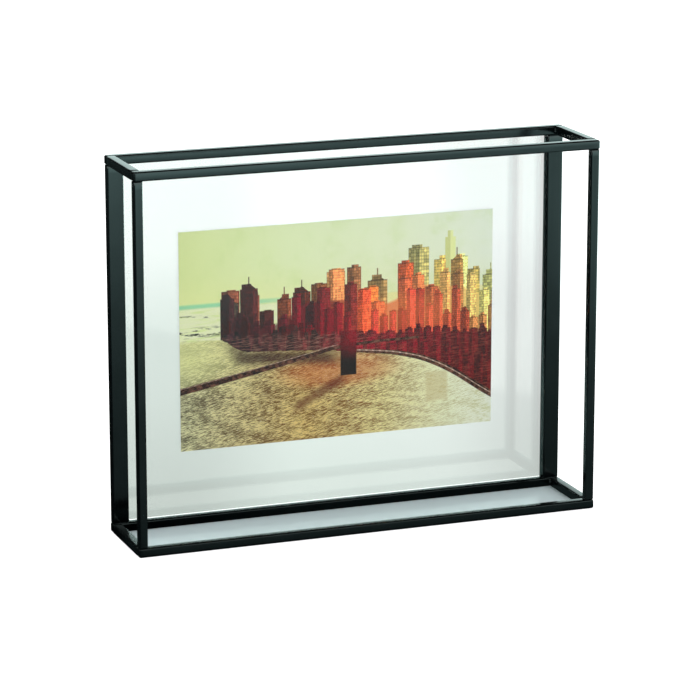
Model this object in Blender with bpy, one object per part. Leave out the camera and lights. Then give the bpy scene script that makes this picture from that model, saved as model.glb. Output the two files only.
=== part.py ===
"""Floating frame: an open box of slim welded steel bars. Its rear side carries two loose
glass panes with a print held between them, which slide down into two folded rails.

Axes: +X right, +Y back, +Z up. The origin is the middle of the outline, on the surface
that the frame stands on. Lengths are in metres.
"""
import math

import bmesh
import bpy

MM = 0.001

# Driving sizes of the welded box
WIDTH = 216.0 * MM
HEIGHT = 170.0 * MM
RING_DEPTH = 44.0 * MM
RING_BAR = 4.2 * MM          # square bar of the top and bottom rings
POST_BAR = 4.0 * MM          # square bar of the front posts, and depth of the rear posts
REAR_POST_WIDTH = 7.5 * MM   # flat bar: its inner half is the landing for the glass
POST_INSET = 0.2 * MM        # posts stand this far inside the outer faces of the rings
EDGE_RADIUS = 0.7 * MM
CORNER_RADIUS = 1.1 * MM     # ground outer corners of the rings

# Glass sandwich
GLASS_THICKNESS = 2.0 * MM
GLASS_TOP = 168.0 * MM
GLASS_EDGE_CHAMFER = 0.25 * MM
PRINT_WIDTH = 150.0 * MM
PRINT_HEIGHT = 100.0 * MM
PRINT_THICKNESS = 0.25 * MM
PRINT_CENTRE_X = 1.0 * MM
PRINT_CENTRE_Z = 82.6 * MM

# Folded sheet rails behind the rear posts, and the ledges under the glass
SHEET = 0.8 * MM
RAIL_OUTER_X = 105.4 * MM
RAIL_LIP = 3.1 * MM
RAIL_TOP = 168.5 * MM
BEND_RADIUS = 1.1 * MM
LEDGE_WIDTH = 10.0 * MM
LEDGE_INNER_X = 92.0 * MM
LEDGE_BOTTOM = 0.9 * MM
PAD_THICKNESS = 0.6 * MM

GAP = 0.3 * MM               # clearance between neighbouring pieces
BEVEL_SEGMENTS = 3
ARC_SEGMENTS = 6
SHARP_EDGE_ANGLE = math.radians(40)

# Places that follow from the sizes above
STACK_DEPTH = 2 * GLASS_THICKNESS + PRINT_THICKNESS + 4 * GAP + SHEET
TOTAL_DEPTH = RING_DEPTH + STACK_DEPTH
FRONT_Y = -TOTAL_DEPTH / 2
REAR_Y = FRONT_Y + RING_DEPTH
HALF_WIDTH = WIDTH / 2
LEDGE_TOP = LEDGE_BOTTOM + SHEET
PAD_BOTTOM = LEDGE_TOP + GAP
GLASS_BOTTOM = PAD_BOTTOM + PAD_THICKNESS + GAP
FRONT_GLASS_Y = REAR_Y + GAP
PRINT_Y = FRONT_GLASS_Y + GLASS_THICKNESS + GAP
BACK_GLASS_Y = PRINT_Y + PRINT_THICKNESS + GAP
LIP_Y = BACK_GLASS_Y + GLASS_THICKNESS + GAP
GLASS_HALF_WIDTH = RAIL_OUTER_X - SHEET - GAP


def clear_scene():
    for obj in list(bpy.data.objects):
        bpy.data.objects.remove(obj, do_unlink=True)


def make_material(name, colour, roughness, metallic=0.0, transmission=0.0, ior=1.5):
    material = bpy.data.materials.new(name)
    material.use_nodes = True
    shader = material.node_tree.nodes["Principled BSDF"]
    shader.inputs["Base Color"].default_value = (*colour, 1.0)
    shader.inputs["Roughness"].default_value = roughness
    shader.inputs["Metallic"].default_value = metallic
    shader.inputs["Transmission Weight"].default_value = transmission
    shader.inputs["IOR"].default_value = ior
    return material


def add_object(name, bm, material, parent, smooth=True):
    """Turn a closed bmesh into a named object, with its origin at its own middle."""
    bmesh.ops.recalc_face_normals(bm, faces=bm.faces)
    low = [min(v.co[i] for v in bm.verts) for i in range(3)]
    high = [max(v.co[i] for v in bm.verts) for i in range(3)]
    centre = [(a + b) / 2 for a, b in zip(low, high)]
    bmesh.ops.translate(bm, verts=bm.verts, vec=[-c for c in centre])
    mesh = bpy.data.meshes.new(name)
    for face in bm.faces:
        face.smooth = smooth
    bm.to_mesh(mesh)
    bm.free()
    mesh.materials.append(material)
    obj = bpy.data.objects.new(name, mesh)
    bpy.context.scene.collection.objects.link(obj)
    obj.location = centre
    obj.parent = parent
    return obj


def add_empty(name):
    empty = bpy.data.objects.new(name, None)
    bpy.context.scene.collection.objects.link(empty)
    return empty


def box_mesh(low, high):
    bm = bmesh.new()
    bmesh.ops.create_cube(bm, size=1.0)
    for vert in bm.verts:
        vert.co = [a + (c + 0.5) * (b - a) for a, b, c in zip(low, high, vert.co)]
    return bm


def bevel(bm, edges, radius, segments):
    bmesh.ops.bevel(bm, geom=edges, offset=radius, segments=segments, profile=0.5,
                    affect="EDGES", clamp_overlap=True)


def round_sharp_edges(bm, radius=EDGE_RADIUS, segments=BEVEL_SEGMENTS):
    sharp = [e for e in bm.edges if e.calc_face_angle(0.0) > SHARP_EDGE_ANGLE]
    bevel(bm, sharp, radius, segments)


def bar(name, low, high, material, parent, radius=EDGE_RADIUS, segments=BEVEL_SEGMENTS):
    bm = box_mesh(low, high)
    round_sharp_edges(bm, radius, segments)
    return add_object(name, bm, material, parent)


def ring(prefix, bottom, material, parent):
    """Four bars laid flat: full-width front and rear bars, and side bars butted between."""
    top = bottom + RING_BAR
    for place, near, outer in (("front", FRONT_Y, FRONT_Y), ("rear", REAR_Y - RING_BAR, REAR_Y)):
        bm = box_mesh((-HALF_WIDTH, near, bottom), (HALF_WIDTH, near + RING_BAR, top))
        corners = [e for e in bm.edges
                   if all(abs(v.co.y - outer) < GAP for v in e.verts)
                   and abs(e.verts[0].co.x - e.verts[1].co.x) < GAP]
        bevel(bm, corners, CORNER_RADIUS, ARC_SEGMENTS)
        round_sharp_edges(bm)
        add_object(f"{prefix}_{place}_bar", bm, material, parent)
    side_front = FRONT_Y + RING_BAR + GAP
    side_rear = REAR_Y - RING_BAR - GAP
    for place, side in (("left", -1), ("right", 1)):
        inner, outer = side * (HALF_WIDTH - RING_BAR), side * HALF_WIDTH
        low = (min(inner, outer), side_front, bottom)
        high = (max(inner, outer), side_rear, top)
        bar(f"{prefix}_{place}_bar", low, high, material, parent)


def posts(material, parent):
    """Upright bars welded between the rings, one at each corner."""
    low_z, high_z = RING_BAR + GAP, HEIGHT - RING_BAR - GAP
    outer_x = HALF_WIDTH - POST_INSET
    rows = (("front", FRONT_Y + POST_INSET, POST_BAR),
            ("rear", REAR_Y - POST_INSET - POST_BAR, REAR_POST_WIDTH))
    for row, near, width in rows:
        for place, side in (("left", -1), ("right", 1)):
            x_ends = sorted((side * outer_x, side * (outer_x - width)))
            low = (x_ends[0], near, low_z)
            high = (x_ends[1], near + POST_BAR, high_z)
            bar(f"{row}_post_{place}", low, high, material, parent)


def arc(centre, radius, start, end):
    """Points of an arc in the XY plane, from angle start to angle end in degrees."""
    steps = [start + (end - start) * i / ARC_SEGMENTS for i in range(ARC_SEGMENTS + 1)]
    return [(centre[0] + radius * math.cos(math.radians(a)),
             centre[1] + radius * math.sin(math.radians(a))) for a in steps]


def glass_rail(place, side, material, parent):
    """Sheet folded to an L: the web stands behind the post and the lip covers the glass edge."""
    web_start = REAR_Y + GAP
    lip_back = LIP_Y + SHEET
    lip_tip = RAIL_OUTER_X - RAIL_LIP
    bend = (RAIL_OUTER_X - BEND_RADIUS, lip_back - BEND_RADIUS)
    outline = [(RAIL_OUTER_X - SHEET, web_start), (RAIL_OUTER_X, web_start)]
    outline += arc(bend, BEND_RADIUS, 0, 90)
    outline += [(lip_tip, lip_back), (lip_tip, LIP_Y)]
    outline += arc(bend, BEND_RADIUS - SHEET, 90, 0)
    bm = bmesh.new()
    face = bm.faces.new([bm.verts.new((side * x, y, 0.0)) for x, y in outline])
    extruded = bmesh.ops.extrude_face_region(bm, geom=[face])["geom"]
    top_verts = [g for g in extruded if isinstance(g, bmesh.types.BMVert)]
    bmesh.ops.translate(bm, verts=top_verts, vec=(0.0, 0.0, RAIL_TOP))
    add_object(f"glass_rail_{place}", bm, material, parent, smooth=False)


def ledge(place, side, steel, rubber, parent):
    """Small plate welded behind the bottom rear bar, with a pad that cushions the glass."""
    x_ends = sorted((side * LEDGE_INNER_X, side * (LEDGE_INNER_X + LEDGE_WIDTH)))
    near, far = REAR_Y + GAP, LIP_Y - GAP
    bar(f"glass_ledge_{place}", (x_ends[0], near, LEDGE_BOTTOM), (x_ends[1], far, LEDGE_TOP),
        steel, parent, radius=SHEET / 4, segments=2)
    bar(f"glass_ledge_pad_{place}", (x_ends[0] + GAP, near, PAD_BOTTOM),
        (x_ends[1] - GAP, far, PAD_BOTTOM + PAD_THICKNESS),
        rubber, parent, radius=PAD_THICKNESS / 4, segments=2)


def pane(name, near, material):
    """A glass pane with ground edges, which slides upwards out of the rails."""
    slide = add_empty(f"{name}_slide")
    slide.location = (0.0, near + GLASS_THICKNESS / 2, GLASS_BOTTOM)
    low = (-GLASS_HALF_WIDTH, near, GLASS_BOTTOM)
    high = (GLASS_HALF_WIDTH, near + GLASS_THICKNESS, GLASS_TOP)
    obj = bar(name, low, high, material, None, radius=GLASS_EDGE_CHAMFER, segments=1)
    obj.location -= slide.location
    obj.parent = slide
    return slide


def photo_print(material, carrier):
    """The card between the panes; it is carried by the back pane."""
    low = (PRINT_CENTRE_X - PRINT_WIDTH / 2, PRINT_Y, PRINT_CENTRE_Z - PRINT_HEIGHT / 2)
    high = (PRINT_CENTRE_X + PRINT_WIDTH / 2, PRINT_Y + PRINT_THICKNESS,
            PRINT_CENTRE_Z + PRINT_HEIGHT / 2)
    obj = add_object("photo_print", box_mesh(low, high), material, None, smooth=False)
    obj.location -= carrier.location
    obj.parent = carrier


def build():
    clear_scene()
    black_steel = make_material("black_powder_coated_steel", (0.012, 0.015, 0.016), 0.3)
    rail_steel = make_material("black_coated_sheet", (0.010, 0.012, 0.013), 0.35)
    clear_glass = make_material("clear_glass", (0.93, 0.98, 0.96), 0.02, transmission=1.0)
    print_paper = make_material("printed_photo_paper", (0.62, 0.52, 0.30), 0.35)
    pad_rubber = make_material("grey_rubber", (0.05, 0.05, 0.05), 0.7)

    frame = add_empty("frame")
    ring("bottom", 0.0, black_steel, frame)
    ring("top", HEIGHT - RING_BAR, black_steel, frame)
    posts(black_steel, frame)
    for place, side in (("left", -1), ("right", 1)):
        glass_rail(place, side, rail_steel, frame)
        ledge(place, side, rail_steel, pad_rubber, frame)
    pane("front_glass_pane", FRONT_GLASS_Y, clear_glass)
    back_slide = pane("back_glass_pane", BACK_GLASS_Y, clear_glass)
    photo_print(print_paper, back_slide)
    bpy.context.view_layer.update()


build()
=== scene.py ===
"""Floating frame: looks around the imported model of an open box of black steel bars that
holds a photo print between two panes of glass. Lengths are in metres."""
import itertools
import math

import bpy
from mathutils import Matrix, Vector
from mathutils.noise import fractal


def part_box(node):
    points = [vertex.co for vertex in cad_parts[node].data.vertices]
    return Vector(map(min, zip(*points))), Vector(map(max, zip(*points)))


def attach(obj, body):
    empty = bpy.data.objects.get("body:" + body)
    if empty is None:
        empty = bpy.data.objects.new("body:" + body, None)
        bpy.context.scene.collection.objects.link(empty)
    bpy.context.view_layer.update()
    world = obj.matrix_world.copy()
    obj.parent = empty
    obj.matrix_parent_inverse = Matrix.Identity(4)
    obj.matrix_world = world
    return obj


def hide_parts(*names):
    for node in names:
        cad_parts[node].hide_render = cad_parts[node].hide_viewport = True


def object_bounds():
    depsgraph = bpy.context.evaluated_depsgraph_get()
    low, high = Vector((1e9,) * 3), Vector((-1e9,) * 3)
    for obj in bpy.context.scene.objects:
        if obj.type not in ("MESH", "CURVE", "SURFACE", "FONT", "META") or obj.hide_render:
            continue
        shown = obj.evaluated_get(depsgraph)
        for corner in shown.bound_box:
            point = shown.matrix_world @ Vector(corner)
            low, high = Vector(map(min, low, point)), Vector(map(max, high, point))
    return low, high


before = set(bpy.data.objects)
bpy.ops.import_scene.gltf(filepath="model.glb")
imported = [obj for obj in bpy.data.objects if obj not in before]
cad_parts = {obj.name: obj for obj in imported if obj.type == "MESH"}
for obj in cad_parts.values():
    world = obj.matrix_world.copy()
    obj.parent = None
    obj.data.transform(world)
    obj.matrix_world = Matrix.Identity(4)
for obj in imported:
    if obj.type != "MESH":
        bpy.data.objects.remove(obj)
cad_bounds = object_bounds()

MM = 0.001
WHITE = (1.0, 1.0, 1.0)

# Camera
CAMERA_POSITION = Vector((-0.5057, -1.3418, 0.4347))
CAMERA_AIM = Vector((-0.00297, -0.0048, 0.0792))
LENS = 170.7
SENSOR = 36.0

# Bars: the edges are rounded as in the CAD part
EDGE_RADIUS = 0.7 * MM
RING_END_RADIUS = 1.0 * MM
END_RADIUS = 0.5 * MM
CORNER_STEPS = 8
END_STEPS = 4
BAR_SPACING = 3.0 * MM
JOINT_REACH = 0.32 * MM
WAVE_SCALE = 70.0
WAVE_DEPTH = 0.003 * MM

# Weld beads
BEAD_RADIUS = 0.55 * MM
BEAD_FLATNESS = 0.75
BEAD_SINK = 0.10 * MM
BEAD_MARGIN = 0.5 * MM
BEAD_OUTER_MARGIN = 0.8 * MM
BEAD_ROWS = 16
BEAD_COLUMNS = 10
BEAD_RIPPLES = 4
BEAD_SEEDS = (0.0, 1.7, 3.1)
CORNER_SEED = 5.3

# Studio light, as radiances
BACKGROUND = 1.9
AMBIENT = 1.05
FLOOR_SIZE = 4.0
FLOOR_DROP = 0.02 * MM
FLOOR_ALBEDO = 0.9
FLOOR_LIFT = 0.66
FLOOR_SHADED_INSIDE = (0.75, 0.885, 0.905)
FLOOR_MIRRORED_MAX = 3.5
FLOOR_GLOSS_TINT = (0.62, 1.0, 0.97)
GLASS_GLOSS_TINT = (1.0, 1.0, 0.97)
GLASS_SHADE = (0.92, 1.0, 0.95)
SKY_GLOSS_TINT = (0.78, 1.0, 0.97)
SKY_DARK = 0.025
SKY_BACK = 1.6
SKY_FRONT = 3.8
# Where the bright horizon ends and the dark ceiling starts, as sines of the elevation
SKY_EDGES_BACK = (math.sin(math.radians(17)), math.sin(math.radians(21)))
SKY_EDGES_FRONT = (math.sin(math.radians(9)), math.sin(math.radians(24)))
SKY_BEHIND_GLASS = 0.75
GLASS_GLOW = 1.4
GLASS_GLOW_FAR = 1.1
# Light that reaches the print through the front pane
PANE_LIGHT = 1.3

# Places in the picture, from 0 to 1: across from the left, and up from the bottom
TOWN_LEFT = 0.14
HORIZON = 0.650
TALLEST = 0.862
TALLEST_ROOF = 0.885
TALLEST_TOP = 0.915
SUN_GLOW = (0.72, 0.55)
WATER_GLOW = (0.5, 0.31)
PIER_SIDES = (0.507, 0.558)
PIER_HEIGHTS = (0.283, 0.487)
HARD = 0.001


def srgb(red, green, blue):
    """An 8-bit display colour as linear light."""
    def linear(value):
        value /= 255
        return value / 12.92 if value <= 0.04045 else ((value + 0.055) / 1.055) ** 2.4
    return tuple(linear(v) for v in (red, green, blue))


# The picture's colours are given as they look through the front pane
PANE_VEIL = (0.012, 0.022, 0.022)
PRINT_GAIN = (0.72, 0.80, 0.80)
INK_RANGE = (0.003, 0.96)


def ink(red, green, blue):
    darkest, lightest = INK_RANGE
    return tuple(min(max((value - veil) / gain, darkest), lightest)
                 for value, veil, gain in zip(srgb(red, green, blue), PANE_VEIL, PRINT_GAIN))


# ---------------------------------------------------------------- node helpers

class Field:
    """A number that varies over a surface: a node output with arithmetic."""

    def __init__(self, tree, socket):
        self.tree = tree
        self.socket = socket

    def op(self, operation, *others):
        node = self.tree.nodes.new("ShaderNodeMath")
        node.operation = operation
        for socket, value in zip(node.inputs, (self, *others)):
            feed(self.tree, value, socket)
        return Field(self.tree, node.outputs[0])

    def __add__(self, other):
        return self.op("ADD", other)

    def __sub__(self, other):
        return self.op("SUBTRACT", other)

    def __mul__(self, other):
        return self.op("MULTIPLY", other)

    def __truediv__(self, other):
        return self.op("DIVIDE", other)

    def __neg__(self):
        return self.op("MULTIPLY", -1.0)

    __radd__ = __add__
    __rmul__ = __mul__

    def __rsub__(self, other):
        return (-self) + other

    def abs(self):
        return self.op("ABSOLUTE")

    def floor(self):
        return self.op("FLOOR")

    def fract(self):
        return self.op("FRACT")

    def max(self, other):
        return self.op("MAXIMUM", other)

    def exceeds(self, limit):
        """1 above the limit, 0 up to it."""
        return self.op("GREATER_THAN", limit)

    def rise(self, start, end, low=0.0, high=1.0):
        """Smoothly from low to high while this goes from start to end."""
        node = self.tree.nodes.new("ShaderNodeMapRange")
        node.interpolation_type = "SMOOTHSTEP"
        for key, value in zip(("Value", "From Min", "From Max", "To Min", "To Max"),
                              (self, start, end, low, high)):
            feed(self.tree, value, node.inputs[key])
        return Field(self.tree, node.outputs["Result"])

    def over(self, edge, soft=0.002):
        """1 above the edge and 0 below it, with a soft step."""
        return (self - edge).rise(-soft, soft)

    def under(self, edge, soft=0.002):
        return (self - edge).rise(-soft, soft, 1.0, 0.0)

    def between(self, low, high, soft=0.002):
        return self.over(low, soft) * self.under(high, soft)

    def curve(self, points):
        """A smooth curve through the points, for this from 0 to 1."""
        node = self.tree.nodes.new("ShaderNodeFloatCurve")
        curve = node.mapping.curves[0]
        while len(curve.points) < len(points):
            curve.points.new(0.5, 0.5)
        for point, place in zip(curve.points, points):
            point.location = place
            point.handle_type = "AUTO_CLAMPED"
        node.mapping.update()
        feed(self.tree, self, node.inputs["Value"])
        return Field(self.tree, node.outputs[0])

    def ramp(self, stops):
        """Colours (place, colour) along this from 0 to 1."""
        node = self.tree.nodes.new("ShaderNodeValToRGB")
        elements = node.color_ramp.elements
        while len(elements) < len(stops):
            elements.new(0.5)
        for element, (place, colour) in zip(elements, stops):
            element.position = place
            element.color = (*colour, 1.0)
        feed(self.tree, self, node.inputs[0])
        return node.outputs[0]

    def random(self, seed):
        """A number from 0 to 1 that looks unrelated to its neighbours'."""
        return ((self * 12.9898 + seed).op("SINE") * 43758.5453).fract()


def feed(tree, value, socket):
    """Put a Field, a socket, a number or a colour into an input."""
    if isinstance(value, Field):
        tree.links.new(value.socket, socket)
    elif isinstance(value, bpy.types.NodeSocket):
        tree.links.new(value, socket)
    elif isinstance(value, tuple) and len(value) == 3 and socket.type == "RGBA":
        socket.default_value = (*value, 1.0)
    else:
        socket.default_value = value


def shader_node(tree, kind, *first, **named):
    """A shader node's output, with values for its first inputs and for named ones, where
    an underscore stands for a space."""
    node = tree.nodes.new(kind)
    for socket, value in zip(node.inputs, first):
        feed(tree, value, socket)
    for key, value in named.items():
        feed(tree, value, node.inputs[key.replace("_", " ")])
    return node.outputs[0]


def stretched(tree, place, width, height, tilt=0.0, layer=0.0):
    """The place in grains of the given width and height, turned in the plane of the print."""
    node = tree.nodes.new("ShaderNodeMapping")
    node.vector_type = "TEXTURE"
    feed(tree, place, node.inputs["Vector"])
    node.inputs["Location"].default_value = (0.0, layer, 0.0)
    node.inputs["Rotation"].default_value = (0.0, math.radians(tilt), 0.0)
    node.inputs["Scale"].default_value = (width, 1.0, height)
    return node.outputs[0]


def noise(tree, place, scale=1.0, detail=2.0, roughness=0.5, distortion=0.0):
    return Field(tree, shader_node(tree, "ShaderNodeTexNoise", Vector=place, Scale=scale,
                                   Detail=detail, Roughness=roughness, Distortion=distortion))


def scaled(tree, colour, factor):
    """The colour, brighter or darker by a factor."""
    return shader_node(tree, "ShaderNodeHueSaturation", Value=factor, Color=colour)


def blend(tree, under, over, amount, kind="MIX"):
    node = tree.nodes.new("ShaderNodeMix")
    node.data_type = "RGBA"
    node.blend_type = kind
    node.clamp_factor = True
    feed(tree, amount, node.inputs[0])
    feed(tree, under, node.inputs[6])
    feed(tree, over, node.inputs[7])
    return node.outputs[2]


def split_vector(tree, vector):
    split = tree.nodes.new("ShaderNodeSeparateXYZ")
    tree.links.new(vector, split.inputs[0])
    return [Field(tree, out) for out in split.outputs]


def object_place(tree):
    """The object coordinates, as a vector."""
    return tree.nodes.new("ShaderNodeTexCoord").outputs["Object"]


def new_material(name):
    material = bpy.data.materials.new(name)
    material.use_nodes = True
    tree = material.node_tree
    return material, tree, tree.nodes["Principled BSDF"]


def bump(tree, shader, height, distance):
    node = tree.nodes.new("ShaderNodeBump")
    node.inputs["Distance"].default_value = distance
    feed(tree, height, node.inputs["Height"])
    tree.links.new(node.outputs[0], shader.inputs["Normal"])


# ---------------------------------------------------------------- camera and studio

def build_camera():
    data = bpy.data.cameras.new("camera")
    data.lens = LENS
    data.sensor_width = SENSOR
    data.clip_start = 0.01
    data.clip_end = 50
    camera = bpy.data.objects.new("camera", data)
    camera.location = CAMERA_POSITION
    camera.rotation_mode = "QUATERNION"
    camera.rotation_quaternion = (CAMERA_AIM - CAMERA_POSITION).to_track_quat("-Z", "Y")
    bpy.context.scene.collection.objects.link(camera)
    bpy.context.scene.camera = camera


def ray(tree, fact):
    """A fact about the ray of light that meets the floor or the surroundings."""
    return Field(tree, tree.nodes.new("ShaderNodeLightPath").outputs[fact])


def in_a_mirror(tree):
    """1 for what is seen in a reflection, also through a pane; 0 for what is seen directly."""
    return ray(tree, "Glossy Depth").exceeds(0.5)


def mirrored_sky(tree):
    """What is mirrored: a bright horizon under a dark ceiling, with a dark flag rear left."""
    generated = tree.nodes.new("ShaderNodeTexCoord").outputs["Generated"]
    right, back, up = split_vector(tree, generated)
    flag = right.rise(-0.15, 0.05, 1.0, 0.0) * back.rise(0.0, 0.3)
    low_edge, high_edge = (back.rise(-0.2, 0.2, *pair)
                           for pair in zip(SKY_EDGES_FRONT, SKY_EDGES_BACK))
    horizon = up.rise(low_edge, high_edge, 1.0, 0.0) * (1.0 - flag)
    crossed = ray(tree, "Transmission Depth").exceeds(0.5)
    side = back.rise(-0.2, 0.2, SKY_FRONT, SKY_BACK) * (1.0 - crossed * (1.0 - SKY_BEHIND_GLASS))
    return horizon * (side - SKY_DARK) + SKY_DARK


def build_world():
    """Even soft light and a white background, and a separate surrounding for reflections."""
    world = bpy.data.worlds.new("studio")
    world.use_nodes = True
    bpy.context.scene.world = world
    tree = world.node_tree
    tree.nodes.clear()
    seen = ray(tree, "Is Camera Ray") + ray(tree, "Is Transmission Ray")
    even = shader_node(tree, "ShaderNodeBackground", WHITE,
                       Strength=seen * (BACKGROUND - AMBIENT) + AMBIENT)
    mirrored = shader_node(tree, "ShaderNodeBackground", SKY_GLOSS_TINT,
                           Strength=mirrored_sky(tree))
    surface = shader_node(tree, "ShaderNodeMixShader", in_a_mirror(tree), even, mirrored)
    output = tree.nodes.new("ShaderNodeOutputWorld")
    tree.links.new(surface, output.inputs["Surface"])


def floor_itself(tree, x, y):
    """Plain white, and inside the frame glossy, so it mirrors the bars, and a little darker
    there as painted shade under the frame.
    """
    plain = shader_node(tree, "ShaderNodeBsdfDiffuse", (FLOOR_ALBEDO,) * 3)
    lift = shader_node(tree, "ShaderNodeEmission", Strength=FLOOR_LIFT)
    white = shader_node(tree, "ShaderNodeAddShader", plain, lift)
    # Painted shade: the floor inside the frame is coloured darker, standing for the shade under
    # the frame
    glossy = shader_node(tree, "ShaderNodeBsdfPrincipled", Base_Color=FLOOR_SHADED_INSIDE,
                         Roughness=0.22, Specular_IOR_Level=0.4)
    soft = 1.5 * MM
    inside = x.abs().under(106 * MM, soft) * y.between(-22 * MM, 16 * MM, soft)
    return shader_node(tree, "ShaderNodeMixShader", inside, white, glossy)


def floor_in_steel(x, y):
    """How bright the bars mirror the floor, painted on the floor for reflections only: painted
    shade beside the frame, white further away, and painted dark towards the front left and the
    rear left, as if dark flags stood there."""
    low, high = [Vector(corner) for corner in cad_bounds]
    outside_x = (x.abs() - high.x).max(0.0)
    outside_y = (y.abs() - high.y).max(0.0)
    distance = (outside_x * outside_x + outside_y * outside_y).op("SQRT")
    # Painted shade on the mirrored floor close to the frame, brighter further away
    bright = distance * 0.5 + distance * distance * 2.8 + 0.30
    bright = bright * distance.rise(0.0, 6 * MM, 0.3, 1.0)
    # A painted bright patch to the right, seen as highlights on the bars' right edges, then a
    # painted darker patch far to the front right
    bright = bright * (x.rise(0.25, 0.5) * y.rise(-0.6, -0.2) * 2.0 + 1.0)
    bright = bright * (1.0 - x.rise(0.2, 0.45) * y.under(-0.7, 0.15) * 0.55)
    # Painted dark patches on the mirrored floor, seen as dark side faces on the bars; no flag
    # object stands there
    front_painted_dark = ((x - low.x) / (0.1 - y)).rise(-0.05, 0.1, 1.0, 0.0) * y.under(0.0, 10 * MM)
    rear_painted_dark = (x + 60 * MM).rise(-40 * MM, 60 * MM, 1.0, 0.0) * y.rise(-30 * MM, 10 * MM)
    far_painted_dark = (x - y * 0.2).under(-60 * MM, 60 * MM) * y.over(60 * MM, 40 * MM)
    dark = (1.0 - front_painted_dark * 0.9) * (1.0 - rear_painted_dark.max(far_painted_dark) * 0.985)
    return bright.op("MINIMUM", FLOOR_MIRRORED_MAX) * dark


def floor_mirrored(tree, x, y):
    """What is mirrored of the floor, all painted light on the floor. The back pane mirrors a
    painted even glow in front of it, brighter beyond a slanting edge; the inner sides of the
    front pane mirror it painted dim."""
    # Painted reflection: the glow and its slanting edge are painted on the floor for the back
    # pane to mirror
    beyond = ((x - 24 * MM) * 0.83 - (y + 329 * MM) * 0.57).over(0.0, 12 * MM)
    glow = beyond * GLASS_GLOW_FAR + GLASS_GLOW
    crossed = ray(tree, "Transmission Depth")
    in_back_pane = crossed.exceeds(2.5) * y.under(0.0)
    in_front_pane = crossed.exceeds(0.5) * (1.0 - crossed.exceeds(2.5))
    strength = floor_in_steel(x, y) * (1.0 - in_front_pane * 0.9)
    tint = blend(tree, FLOOR_GLOSS_TINT, GLASS_GLOSS_TINT, in_back_pane)
    return shader_node(tree, "ShaderNodeEmission", tint,
                       strength + (glow - strength) * in_back_pane)


def floor_through_glass(tree, x, y):
    """What is seen through the glass, painted on the floor: painted shade close behind the
    frame, brightest behind the middle, brighter further back.
    """
    neutral = x.rise(0.0, 0.25).max(y.rise(0.35, 0.6) * 0.7)
    # Painted shade: the floor behind the glass is darker near the frame, where the print would
    # shade it
    middle = (x - y * 0.36 - 10 * MM).abs().rise(30 * MM, 95 * MM, 1.0, 0.0)
    falloff = y.rise(0.02, 0.3) * 0.13 + middle * 0.2 + 0.65
    falloff = falloff + y.rise(0.35, 0.6) * x.rise(0.1, 0.3, 0.15, 0.09)
    lights = ray(tree, "Diffuse Depth").exceeds(0.5)
    return shader_node(tree, "ShaderNodeEmission", blend(tree, GLASS_SHADE, WHITE, neutral),
                       falloff + (PANE_LIGHT - falloff) * lights)


def floor_material():
    material = bpy.data.materials.new("floor_white")
    material.use_nodes = True
    tree = material.node_tree
    tree.nodes.clear()
    x, y, _ = split_vector(tree, object_place(tree))
    mirror = in_a_mirror(tree)
    seen = shader_node(tree, "ShaderNodeMixShader", mirror, floor_itself(tree, x, y),
                       floor_mirrored(tree, x, y))
    behind_glass = ray(tree, "Is Transmission Ray") * (1.0 - mirror)
    surface = shader_node(tree, "ShaderNodeMixShader", behind_glass, seen,
                          floor_through_glass(tree, x, y))
    output = tree.nodes.new("ShaderNodeOutputMaterial")
    tree.links.new(surface, output.inputs["Surface"])
    return material


def build_floor():
    corners = [(-1, -1), (1, -1), (1, 1), (-1, 1)]
    mesh = bpy.data.meshes.new("floor")
    mesh.from_pydata([(FLOOR_SIZE * x, FLOOR_SIZE * y, 0) for x, y in corners],
                     [], [(0, 1, 2, 3)])
    mesh.materials.append(floor_material())
    floor = bpy.data.objects.new("floor", mesh)
    floor.location.z = -FLOOR_DROP
    bpy.context.scene.collection.objects.link(floor)


# ---------------------------------------------------------------- materials

def powder_coat(name, dark, light, smooth, rough):
    """Black coating with a fine orange peel and slightly uneven gloss."""
    material, tree, shader = new_material(name)
    place = object_place(tree)
    cloudy = noise(tree, place, scale=90.0, detail=3.0)
    grain = noise(tree, place, scale=1400.0, detail=2.0)
    feed(tree, blend(tree, dark, light, cloudy.rise(0.3, 0.75)), shader.inputs["Base Color"])
    feed(tree, cloudy.rise(0.3, 0.7, smooth, rough) + (grain - 0.5) * 0.06,
         shader.inputs["Roughness"])
    shader.inputs["IOR"].default_value = 1.5
    shader.inputs["Specular IOR Level"].default_value = 0.35
    bump(tree, shader, grain, 0.004 * MM)
    return material


def glass_material(name, reflection):
    """Clear glass with faint smudges."""
    material, tree, shader = new_material(name)
    smudge = noise(tree, object_place(tree), scale=24.0, detail=4.0)
    shader.inputs["Base Color"].default_value = (0.975, 0.995, 0.985, 1.0)
    shader.inputs["Transmission Weight"].default_value = 1.0
    shader.inputs["IOR"].default_value = 1.5
    shader.inputs["Specular IOR Level"].default_value = reflection
    feed(tree, smudge.rise(0.45, 0.8, 0.0, 0.03), shader.inputs["Roughness"])
    return material


def pad_material():
    """Dark rubber with a coarse grain."""
    material, tree, shader = new_material("pad_rubber")
    grain = noise(tree, object_place(tree), scale=900.0, detail=3.0)
    colour = blend(tree, (0.02, 0.02, 0.02), (0.05, 0.05, 0.05), grain)
    feed(tree, colour, shader.inputs["Base Color"])
    shader.inputs["Roughness"].default_value = 0.8
    bump(tree, shader, grain, 0.03 * MM)
    return material


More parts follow.
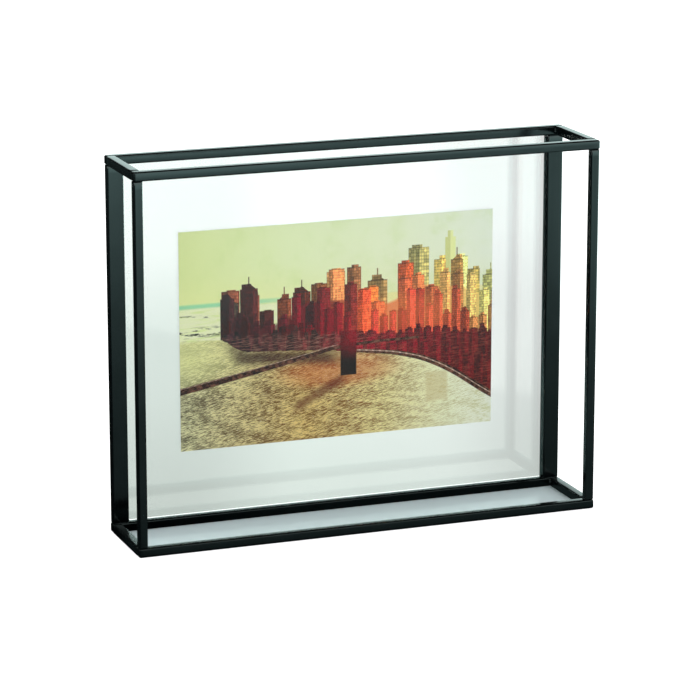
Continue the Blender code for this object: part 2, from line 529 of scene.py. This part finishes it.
def print_material():
    """Glossy photo paper: the picture on its front, plain white on its back and edges."""
    material, tree, shader = new_material("photo_paper")
    geometry = tree.nodes.new("ShaderNodeNewGeometry")
    _, normal_y, _ = split_vector(tree, geometry.outputs["True Normal"])
    front = normal_y.under(-0.5, 0.1)
    fibre = noise(tree, object_place(tree), scale=1800.0, detail=3.0)
    back = blend(tree, (0.80, 0.80, 0.79), (0.87, 0.87, 0.86), fibre)
    feed(tree, blend(tree, back, picture(tree), front), shader.inputs["Base Color"])
    feed(tree, fibre.rise(0.2, 0.8, 0.32, 0.42), shader.inputs["Roughness"])
    shader.inputs["Specular IOR Level"].default_value = 0.05
    bump(tree, shader, fibre, 0.003 * MM)
    return material


# ---------------------------------------------------------------- steel bars and welds

def box_of(node):
    return [Vector(corner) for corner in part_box(node)]


def steel_piece(name, vertices, faces, material):
    mesh = bpy.data.meshes.new(name)
    mesh.from_pydata(vertices, [], faces)
    mesh.materials.append(material)
    mesh.shade_smooth()
    mesh.update()
    obj = bpy.data.objects.new(name, mesh)
    bpy.context.scene.collection.objects.link(obj)
    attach(obj, "frame")
    return obj


def rounded_loop(half_a, half_b, radius, inset):
    """Points of a rounded rectangle whose outline is drawn in by inset, with their normals."""
    points = []
    for quarter, (sign_a, sign_b) in enumerate(((1, 1), (-1, 1), (-1, -1), (1, -1))):
        for step in range(CORNER_STEPS + 1):
            angle = math.radians(90 * (quarter + step / CORNER_STEPS))
            normal = (math.cos(angle), math.sin(angle))
            reach = radius - inset
            points.append((sign_a * (half_a - radius) + reach * normal[0],
                           sign_b * (half_b - radius) + reach * normal[1], *normal))
    return points


def stations(length, end_radius):
    """Places along a bar and how far its outline is drawn in there, for soft rounded ends."""
    angles = [math.radians(90 * i / END_STEPS) for i in range(END_STEPS + 1)]
    rounding = [(end_radius * (1 - math.cos(a)), end_radius * (1 - math.sin(a)))
                for a in angles]
    straight = length - 2 * end_radius
    count = max(2, round(straight / BAR_SPACING))
    middle = [(end_radius + straight * i / count, 0.0) for i in range(1, count)]
    return rounding + middle + [(length - place, inset) for place, inset in reversed(rounding)]


def bar_vertices(low, high, axis, places):
    """Rounded outlines along the bar, very slightly wavy as ground and coated steel is."""
    a, b = [i for i in range(3) if i != axis]
    centre = (low + high) / 2
    half = (high - low) / 2
    vertices = []
    for along, inset in places:
        for p, q, normal_p, normal_q in rounded_loop(half[a], half[b], EDGE_RADIUS, inset):
            point = Vector((0, 0, 0))
            point[axis] = low[axis] + along
            point[a] = centre[a] + p
            point[b] = centre[b] + q
            wave = (fractal(point * WAVE_SCALE, 0.8, 2.0, 2) - 0.6) * WAVE_DEPTH
            point[a] += normal_p * wave
            point[b] += normal_q * wave
            vertices.append(point)
    return vertices


def bar_faces(rows, flip):
    """Quads between the outlines and a cap at each end, facing outwards."""
    ring = 4 * (CORNER_STEPS + 1)
    faces = []
    for row in range(rows - 1):
        for i in range(ring):
            j = (i + 1) % ring
            near, far = row * ring, (row + 1) * ring
            faces.append((near + i, near + j, far + j, far + i))
    faces.append(tuple(reversed(range(ring))))
    faces.append(tuple(range((rows - 1) * ring, rows * ring)))
    return [face[::-1] for face in faces] if flip else faces


def coated_bar(node, axis, material, end_radius=END_RADIUS, reach=0.0):
    """A square bar with rounded edges and ends. It stands for the CAD node, and is longer by
    reach at each end, to close the welded joints."""
    low, high = box_of(node)
    low[axis] -= reach
    high[axis] += reach
    places = stations(high[axis] - low[axis], end_radius)
    vertices = bar_vertices(low, high, axis, places)
    faces = bar_faces(len(places), flip=axis == 1)
    piece = steel_piece(f"coated_{node}", vertices, faces, material)
    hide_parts(node)


def build_bars(material):
    for level in ("top", "bottom"):
        for row in ("front", "rear"):
            coated_bar(f"{level}_{row}_bar", 0, material, end_radius=RING_END_RADIUS)
        for side in ("left", "right"):
            coated_bar(f"{level}_{side}_bar", 1, material, reach=JOINT_REACH)
    for row, side in itertools.product(("front", "rear"), ("left", "right")):
        coated_bar(f"{row}_post_{side}", 2, material, reach=JOINT_REACH)


def bead(vertices, faces, start, end, seed):
    """Add a short lumpy weld bead between two points."""
    along = end - start
    side_a = along.orthogonal().normalized()
    side_b = along.cross(side_a).normalized()
    first = len(vertices)
    for row in range(BEAD_ROWS + 1):
        t = row / BEAD_ROWS
        girth = math.sin(math.pi * (0.04 + 0.92 * t)) ** 0.45
        girth *= 1.0 + 0.14 * math.sin(t * BEAD_RIPPLES * 2 * math.pi + seed)
        for column in range(BEAD_COLUMNS):
            angle = 2 * math.pi * column / BEAD_COLUMNS
            lump = 1.0 + 0.12 * fractal(Vector((seed, t * 5, angle)), 0.8, 2.0, 2)
            offset = side_a * math.cos(angle) + side_b * math.sin(angle)
            offset *= BEAD_RADIUS * girth * lump
            offset.z *= BEAD_FLATNESS
            vertices.append(start + along * t + offset)
    for row in range(BEAD_ROWS):
        near = first + row * BEAD_COLUMNS
        far = near + BEAD_COLUMNS
        for column in range(BEAD_COLUMNS):
            beside = (column + 1) % BEAD_COLUMNS
            faces.append((near + column, near + beside, far + beside, far + column))
    faces.append(tuple(first + i for i in reversed(range(BEAD_COLUMNS))))
    faces.append(tuple(len(vertices) - BEAD_COLUMNS + i for i in range(BEAD_COLUMNS)))


def weld_lines(level, row, side):
    """Start and end of the beads at a corner: two between the post and the ring, and one
    between the ring's bars."""
    post_low, post_high = box_of(f"{row}_post_{side}")
    ring_low, ring_high = box_of(f"{level}_{row}_bar")
    side_low, side_high = box_of(f"{level}_{side}_bar")

    def inner_x(low, high):
        return high.x - BEAD_SINK if side == "left" else low.x + BEAD_SINK

    def inner_y(low, high):
        return high.y - BEAD_SINK if row == "front" else low.y + BEAD_SINK

    post_x, post_y = inner_x(post_low, post_high), inner_y(post_low, post_high)
    ring_x, ring_y = inner_x(side_low, side_high), inner_y(ring_low, ring_high)
    z = ring_low.z if level == "top" else ring_high.z
    return [
        (Vector((post_x, post_low.y + BEAD_MARGIN, z)),
         Vector((post_x, post_high.y - BEAD_MARGIN, z))),
        (Vector((post_low.x + BEAD_OUTER_MARGIN, post_y, z)),
         Vector((post_high.x - BEAD_MARGIN, post_y, z))),
        (Vector((ring_x, ring_y, ring_low.z + BEAD_MARGIN)),
         Vector((ring_x, ring_y, ring_high.z - BEAD_MARGIN))),
    ]


def build_welds(material):
    """Beads on the inner sides of every corner."""
    corners = itertools.product(("top", "bottom"), ("front", "rear"), ("left", "right"))
    for number, corner in enumerate(corners):
        vertices, faces = [], []
        for (start, end), seed in zip(weld_lines(*corner), BEAD_SEEDS):
            bead(vertices, faces, start, end, number * CORNER_SEED + seed)
        steel_piece("_".join(("weld", *corner)), vertices, faces, material)


# ---------------------------------------------------------------- picture on the print

def tower_shape(across, v, half, top, wide, depth):
    """A tower's body, setback and mast; across is 0 at the middle of its plot."""
    gable = (half * 0.7 - across.abs()).max(0.0) * depth.over(0.7, 0.01) * 0.07
    body = across.abs().under(half, 0.012) * v.under(top + gable, HARD)
    setback = (across + (wide - 0.5) * 0.3).abs().under(half * 0.5, 0.012)
    setback = setback * v.under(top + depth * 0.025, HARD)
    mast = across.abs().under(0.03, 0.01) * v.under(top + 0.055, HARD) * depth.over(0.8, 0.01)
    return body.max(setback).max(mast)


def tower_shade(across, v, index, tone, depth, storeys, seed):
    """How bright a tower's face is: a lit and a shaded side, storeys, piers and windows."""
    columns = across * (tone * 5.0 + 7.0)
    window = columns.floor() * 1.37 + (v * storeys).floor() * 17.31 + index * 5.13
    lit = window.random(seed)
    rows = ((v * storeys).fract() - 0.5).abs().over(0.22, 0.15)
    piers = (columns.fract() - 0.5).abs().over(0.28, 0.15)
    lit_face = across.over((depth - 0.45) * 0.5, 0.02)
    shade = (lit_face * 0.7 + 0.6) * (tone * 0.8 + 0.65)
    return shade * (1.0 - rows * 0.3) * (1.0 - piers * 0.25) * (lit * 0.9 + 0.65)


def tower_row(colour, u, v, seed, count, roofs, reach, tones, storeys, share=1.0):
    """A row of plain box towers over the colour, their tops within reach of the roof line.
    The roof line and the tones are functions of the place across the picture; share is how
    many of the plots are built on."""
    tree = u.tree
    cell = u * count + seed * 0.37
    index = cell.floor()
    across = cell.fract() - 0.5
    centre = (index + (0.5 - seed * 0.37)) / count
    tall, wide, tone, depth = (index.random(seed * k) for k in (17.13, 31.71, 47.39, 61.7))
    half = wide * 0.22 + 0.34
    top = roofs(centre) + tall * (reach[1] - reach[0]) + reach[0]
    shape = tower_shape(across, v, half, top, wide, depth)
    standing = index.random(seed * 5.77).under(share, HARD) * centre.over(TOWN_LEFT, HARD)
    mask = shape * standing
    shade = tower_shade(across, v, index, tone, depth, storeys, seed)
    paint = scaled(tree, tones(centre + (tone - 0.5) * 0.13), shade)
    cornice = (v - top).abs().under(0.003, HARD)
    corner = (across.abs() - half).abs().under(0.02, 0.01)
    paint = blend(tree, paint, ink(54, 26, 30), (cornice + corner * 0.5) * 0.6)
    return blend(tree, colour, paint, mask)


def far_tones(place):
    return place.ramp([(0.0, ink(110, 84, 66)), (0.35, ink(150, 80, 64)),
                       (0.5, ink(222, 156, 100)), (0.65, ink(226, 204, 124)),
                       (0.8, ink(206, 208, 134)), (1.0, ink(218, 230, 150))])


def main_tones(place):
    return place.ramp([(0.12, ink(84, 74, 66)), (0.26, ink(84, 50, 50)),
                       (0.36, ink(128, 66, 54)), (0.46, ink(140, 96, 62)),
                       (0.54, ink(196, 134, 90)), (0.62, ink(222, 150, 74)),
                       (0.70, ink(228, 100, 60)), (0.80, ink(224, 124, 72)),
                       (0.88, ink(226, 196, 106)), (1.0, ink(230, 224, 138))])


def near_tones(place):
    return place.ramp([(0.12, ink(72, 52, 54)), (0.3, ink(90, 48, 52)),
                       (0.42, ink(116, 42, 50)), (0.52, ink(150, 62, 56)),
                       (0.62, ink(222, 92, 62)), (0.76, ink(232, 122, 78)),
                       (0.86, ink(226, 160, 92)), (1.0, ink(232, 214, 130))])


def low_tones(place):
    return place.ramp([(0.12, ink(56, 36, 42)), (0.35, ink(82, 30, 42)),
                       (0.5, ink(124, 34, 50)), (0.65, ink(206, 66, 62)),
                       (0.8, ink(206, 78, 64)), (0.92, ink(190, 96, 66)),
                       (1.0, ink(200, 150, 90))])


def quarter_tones(place):
    return place.ramp([(0.12, ink(60, 50, 56)), (0.4, ink(104, 62, 60)),
                       (0.55, ink(126, 44, 54)), (0.75, ink(120, 32, 50)),
                       (1.0, ink(92, 28, 44))])


def skyline(place):
    """The roof line across the picture, as a height from 0 to 1."""
    return place.curve([(0.0, 0.62), (0.12, 0.735), (0.20, 0.73), (0.25, 0.67), (0.32, 0.70),
                        (0.42, 0.775), (0.54, 0.775), (0.60, 0.735), (0.68, 0.75),
                        (0.75, 0.815), (0.83, 0.80), (0.90, 0.79), (1.0, 0.70)])


def shoreline(place):
    """Where the land in front of the towers meets the water, as a height from 0 to 1."""
    return place.curve([(0.0, 0.505), (0.12, 0.50), (0.20, 0.435), (0.30, 0.425), (0.5, 0.40),
                        (0.60, 0.385), (0.70, 0.362), (0.80, 0.315), (1.0, 0.132)])


def low_line(share):
    """A roof line for the low quarter, by its share of the way from the shore to the towers."""
    def line(place):
        shore = shoreline(place)
        return shore + (place.rise(0.0, 1.0, 0.50, 0.46) - shore) * share
    return line


def sky(tree, place, u, v):
    """Pale green evening sky, warmer near the horizon, with a mottled print grain."""
    clear = u.ramp([(0.0, ink(206, 223, 158)), (0.35, ink(213, 238, 186)),
                    (0.7, ink(216, 240, 200)), (1.0, ink(216, 240, 214))])
    warm = v.rise(0.60, 0.85, 0.7, 0.0) * u.rise(0.2, 0.9, 1.0, 0.3)
    colour = blend(tree, clear, ink(226, 240, 164), warm)
    grain = stretched(tree, place, 10 * MM, 10 * MM, layer=3.7)
    mottled = noise(tree, grain, detail=7.0, roughness=0.65)
    return blend(tree, colour, ink(190, 214, 142), mottled.rise(0.45, 0.8) * 0.4)


def sky_and_sea(tree, place, u, v):
    """The sky above a bright sea, with a green horizon and small islands on the left."""
    above = sky(tree, place, u, v)
    glare = noise(tree, stretched(tree, place, 12 * MM, 1.1 * MM, layer=8.0), detail=3.0)
    sea = blend(tree, ink(234, 246, 192), ink(206, 224, 158), glare.rise(0.45, 0.7))
    sea = blend(tree, sea, ink(232, 214, 130), u.rise(0.35, 0.75))
    colour = blend(tree, above, sea, v.under(HORIZON, 0.004) * u.rise(0.3, 0.8, 1.0, 0.5))
    green = v.between(HORIZON, 0.668, 0.006) * u.rise(0.15, 0.5, 0.75, 0.0)
    colour = blend(tree, colour, ink(112, 206, 170), green)
    lumps = stretched(tree, place, 10 * MM, 1.4 * MM, layer=2.2)
    land = noise(tree, lumps, detail=4.0, roughness=0.65).over(0.55, 0.02)
    islands = land * (v.between(0.52, 0.56, 0.012) + v.between(0.605, 0.618, 0.004))
    return blend(tree, colour, ink(50, 58, 54), islands * u.under(0.13, 0.01))


def waves(tree, place):
    """The height of the waves, and of the smallest ones alone."""
    ripple = noise(tree, stretched(tree, place, 3.4 * MM, 0.42 * MM, -14, 5.0), detail=5.0,
                   roughness=0.65, distortion=0.5)
    chop = noise(tree, stretched(tree, place, 1.6 * MM, 0.26 * MM, 9, 9.0), detail=4.0,
                 roughness=0.7, distortion=0.8)
    swell = noise(tree, stretched(tree, place, 16 * MM, 4.5 * MM, 10, 2.0), detail=3.0)
    return ripple * 0.6 + chop * 0.4 + (swell - 0.5) * 0.25, chop


def water(tree, place, u, v):
    """Water with small waves: cool on the left, golden in the middle and pale on the right."""
    wet, chop = waves(tree, place)
    trough = u.ramp([(0.0, ink(98, 98, 82)), (0.35, ink(112, 86, 56)), (0.6, ink(124, 92, 62)),
                     (0.8, ink(182, 178, 132)), (1.0, ink(194, 204, 162))])
    crest = u.ramp([(0.0, ink(206, 212, 168)), (0.4, ink(214, 196, 128)),
                    (0.65, ink(226, 218, 160)), (0.85, ink(228, 242, 200)),
                    (1.0, ink(230, 246, 216))])
    surface = blend(tree, trough, crest, (wet + u.rise(0.5, 0.9, 0.0, 0.03)).rise(0.44, 0.56))
    calm = u.rise(0.0, 0.3, 1.0, 0.0) * v.rise(0.22, 0.42)
    surface = blend(tree, surface, ink(212, 222, 156), calm * 0.7)
    off_u, off_v = u - WATER_GLOW[0], v - WATER_GLOW[1]
    glow = (off_u * off_u * 8.0 + off_v * off_v * 45.0).rise(0.0, 0.45, 1.0, 0.0)
    surface = blend(tree, surface, ink(184, 104, 66), glow * 0.6)
    tower_image = u.between(0.785, 0.855, 0.006) * v.between(0.125, 0.262, 0.01)
    surface = blend(tree, surface, ink(186, 178, 128), tower_image * 0.55)
    return blend(tree, surface, ink(250, 252, 226), chop.rise(0.62, 0.70) * 0.6)


def road_decks(tree, colour, u, v, grit):
    """Two road decks with railings, one from each side of the picture."""
    left = u.curve([(0.0, 0.273), (0.22, 0.334), (0.39, 0.383), (0.51, 0.418), (0.75, 0.430),
                    (1.0, 0.43)])
    right = shoreline(u)
    deck = blend(tree, ink(50, 34, 40), ink(126, 92, 78), grit.rise(0.4, 0.7))
    on_left = (v - left).abs().under(u.rise(0.0, 0.7, 0.016, 0.006)) * u.under(0.76)
    on_right = (v - right).abs().under(u.rise(0.5, 1.0, 0.008, 0.018)) * u.over(0.53)
    colour = blend(tree, colour, deck, on_left.max(on_right))
    posts = (u * 46.0).fract().under(0.3, 0.1)
    railing = (v - right - 0.004).abs().under(0.0024, HARD) * u.over(0.56)
    railing = railing + (v - left - 0.012).abs().under(0.0018, HARD) * u.under(0.5) * 0.6
    return blend(tree, colour, ink(220, 196, 176), railing * (posts * 0.5 + 0.4))


def bridge(tree, colour, u, v, grit):
    """Road decks that meet at a plain block pier, and the pier's shadow on the water."""
    shadow = (v - 0.16 - (u - 0.37) * 0.75).abs().under(0.024, 0.02)
    shadow = shadow * u.between(0.36, 0.52, 0.02)
    colour = blend(tree, colour, ink(96, 54, 50), shadow * v.under(0.3, 0.01) * 0.75)
    colour = road_decks(tree, colour, u, v, grit)
    pier = u.between(*PIER_SIDES) * v.between(*PIER_HEIGHTS)
    cap = u.between(0.503, 0.562) * v.between(0.476, 0.489)
    lit = v.rise(0.34, 0.46) * (grit.rise(0.3, 0.6) * 0.6 + 0.4) * u.rise(0.507, 0.55, 0.5, 1.0)
    stone = blend(tree, ink(44, 18, 30), ink(140, 44, 52), lit)
    return blend(tree, colour, stone, pier.max(cap))


def towers(tree, colour, u, v):
    """The tall part of the town, from its far row to its near one, in a glow of low sun."""
    town = tower_row(colour, u, v, 3.0, 15.0, skyline, (-0.05, 0.05), far_tones, 62.0, 0.55)
    aside = (u - TALLEST).abs()
    tallest = aside.under(0.017, HARD) * v.under(TALLEST_ROOF, HARD)
    tallest = tallest.max((u - TALLEST).abs().under(0.009, HARD) * v.under(TALLEST_TOP, HARD))
    pale = blend(tree, ink(196, 206, 140), ink(216, 228, 164), u.over(TALLEST))
    town = blend(tree, town, pale, tallest)
    town = tower_row(town, u, v, 7.0, 18.0, skyline, (-0.08, 0.01), main_tones, 76.0, 0.85)
    wall = v.under(skyline(u) - 0.14, 0.01) * u.over(TOWN_LEFT, HARD)
    town = blend(tree, town, near_tones(u), wall * 0.85)
    town = tower_row(town, u, v, 11.0, 23.0, skyline, (-0.16, -0.05), near_tones, 86.0, 0.9)
    town = tower_row(town, u, v, 23.0, 34.0, skyline, (-0.29, -0.14), low_tones, 104.0)
    off_u, off_v = u - SUN_GLOW[0], v - SUN_GLOW[1]
    glow = (off_u * off_u * 30.0 + off_v * off_v * 60.0).rise(0.0, 1.0, 1.0, 0.0)
    return blend(tree, town, ink(255, 112, 64), glow * 0.4, "SCREEN")


def low_quarter(tree, place, colour, u, v, grit):
    """Low blocks between the towers and the shore, with streaks of quays and roads."""
    blocks = v.under(low_line(0.9)(u), 0.004) * u.over(TOWN_LEFT, HARD)
    town = blend(tree, colour, quarter_tones(u), blocks)
    for seed, count, share, storeys in ((31.0, 33.0, 0.90, 90.0), (37.0, 28.0, 0.48, 84.0)):
        town = tower_row(town, u, v, seed, count, low_line(share), (-0.01, 0.03),
                         quarter_tones, storeys)
    streaks = noise(tree, stretched(tree, place, 5 * MM, 0.45 * MM, -4, 6.1), detail=4.0,
                    roughness=0.65)
    land = v.under(low_line(1.0)(u) + (grit - 0.5) * 0.05, 0.02)
    quays = streaks.rise(0.50, 0.60) * land * u.rise(0.5, 0.75, 0.65, 0.25)
    pale = blend(tree, ink(150, 112, 100), ink(196, 96, 84), u.rise(0.4, 0.7))
    return blend(tree, town, pale, quays)


def picture(tree):
    """A generic town by the water at sunset, with a road bridge in front of it."""
    low, high = box_of("photo_print")
    place = object_place(tree)
    x, _, z = split_vector(tree, place)
    u = (x - low.x) / (high.x - low.x)
    v = (z - low.z) / (high.z - low.z)
    town = towers(tree, sky_and_sea(tree, place, u, v), u, v)
    grit = noise(tree, stretched(tree, place, 2.5 * MM, 1.7 * MM, layer=1.3), detail=5.0,
                 roughness=0.7)
    town = low_quarter(tree, place, town, u, v, grit)
    shore = shoreline(u) + (grit - 0.5) * 0.02
    on_water = v.under(shore) * v.under(0.50, 0.01)
    colour = blend(tree, town, water(tree, place, u, v), on_water)
    bay = v.between(shore - 0.06, shore, 0.025) * u.between(0.16, 0.5, 0.04)
    colour = blend(tree, colour, ink(60, 46, 50), bay * 0.8)
    return bridge(tree, colour, u, v, grit)


# ---------------------------------------------------------------- the frame

def assign(material, *names):
    for name in names:
        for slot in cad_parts[name].material_slots:
            slot.material = material


def build():
    build_camera()
    build_world()
    build_floor()
    coat = powder_coat("black_steel", (0.0003, 0.0008, 0.0010), (0.0007, 0.0016, 0.0020),
                       0.11, 0.17)
    rail = powder_coat("rail_steel", (0.006, 0.008, 0.008), (0.012, 0.015, 0.015), 0.35, 0.45)
    build_bars(coat)
    build_welds(coat)
    assign(rail, "glass_rail_left", "glass_rail_right", "glass_ledge_left", "glass_ledge_right")
    assign(pad_material(), "glass_ledge_pad_left", "glass_ledge_pad_right")
    # The front pane is coated against reflections, the back pane is not
    assign(glass_material("coated_glass", 0.08), "front_glass_pane")
    assign(glass_material("clear_glass", 1.0), "back_glass_pane")
    assign(print_material(), "photo_print")
    bpy.context.scene.view_settings.view_transform = "Standard"


build()
bpy.context.view_layer.update()
